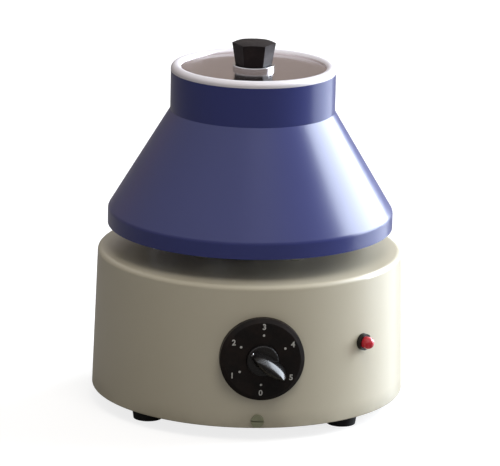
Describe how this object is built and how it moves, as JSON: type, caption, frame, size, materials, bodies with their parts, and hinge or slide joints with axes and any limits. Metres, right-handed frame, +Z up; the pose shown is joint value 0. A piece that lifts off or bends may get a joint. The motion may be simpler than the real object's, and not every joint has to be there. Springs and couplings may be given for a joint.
{
  "type": "bench centrifuge",
  "caption": "Electric bench centrifuge: round enamelled motor base with a speed dial, and a conical wind-shielded angle head under a clamped lid.",
  "frame": {"origin": "on the bench under the shaft: the centre of the bounding box, at the soles of the feet", "axes": "+Z up along the shaft, -Y the way the speed dial faces, +Y the way the cord gland faces"},
  "size_m": [0.2309, 0.2715, 0.2708],
  "materials": {
    "cream_enamel": "gloss",
    "blue_enamel": "gloss",
    "screw_paint": "satin",
    "polished_aluminium": "polished",
    "aluminium": "satin",
    "zinc_steel": "satin",
    "bright_steel": "polished",
    "lamination_steel": "matte",
    "black_phenolic": "gloss",
    "black_moulding": "matte",
    "grey_nylon": "matte",
    "black_rubber": "matte",
    "copper": "satin",
    "brass": "satin",
    "carbon": "matte",
    "resistance_wire": "satin",
    "red_lens": "translucent"
  },
  "bodies": {
    "base": {"base_housing": "cream_enamel", "bottom_pan": "zinc_steel", "housing_screws": "screw_paint", "rubber_feet": "black_rubber", "foot_screws": "zinc_steel", "foot_nuts": "zinc_steel", "motor_mounts": "black_rubber", "motor_mount_screws": "zinc_steel", "motor_mount_nuts": "zinc_steel", "motor_lower_bracket": "aluminium", "motor_upper_bracket": "aluminium", "stator_core": "lamination_steel", "field_coils": "copper", "motor_through_bolts": "zinc_steel", "motor_bolt_nuts": "zinc_steel", "bearing_outer_races": "bright_steel", "brush_holders": "brass", "brush_insulators": "black_moulding", "carbon_brushes": "carbon", "brush_springs": "bright_steel", "brush_caps": "black_moulding", "shaft_boot": "black_rubber", "dial_plate": "black_phenolic", "regulator_bushing": "brass", "regulator_nut": "bright_steel", "regulator_body": "black_moulding", "regulator_winding": "resistance_wire", "lamp_bezel": "black_phenolic", "lamp_lens": "red_lens", "lamp_body": "grey_nylon", "lamp_nut": "zinc_steel", "gland_body": "black_moulding", "gland_cap": "black_moulding", "gland_seal": "black_rubber", "gland_lock_nut": "black_moulding", "terminal_block": "grey_nylon"},
    "head": {"motor_shaft": "bright_steel", "armature_core": "lamination_steel", "armature_windings": "copper", "commutator": "copper", "cooling_fan": "aluminium", "bearing_inner_races": "bright_steel", "head_hub": "aluminium", "sleeve_carrier": "aluminium", "carrier_nut": "zinc_steel", "wind_shield": "blue_enamel", "tube_sleeves": "bright_steel", "sleeve_cushions": "black_rubber"},
    "lid": {"lid": "polished_aluminium", "lid_ring": "bright_steel"},
    "clamp": {"clamp_knob": "black_phenolic", "clamp_stud": "bright_steel"},
    "pointer": {"pointer_knob": "black_phenolic", "regulator_spindle": "brass", "regulator_wiper": "brass", "knob_grub_screw": "bright_steel"}
  },
  "joints": [
    {"name": "head_spin", "type": "hinge", "parent": "base", "child": "head", "pos_m": [0, 0, 0.133], "axis": [0, 0, 1], "continuous": true},
    {"name": "lid_lift", "type": "slide", "parent": "head", "child": "lid", "axis": [0, 0, 1], "range_m": [0, 0.2]},
    {"name": "clamp_turn", "type": "hinge", "parent": "lid", "child": "clamp", "pos_m": [0, 0, 0.252], "axis": [0, 0, 1], "continuous": true},
    {"name": "dial_turn", "type": "hinge", "parent": "base", "child": "pointer", "pos_m": [0, -0.119, 0.0622], "axis": [0, 1, 0], "range_deg": [-300, 0]}
  ]
}
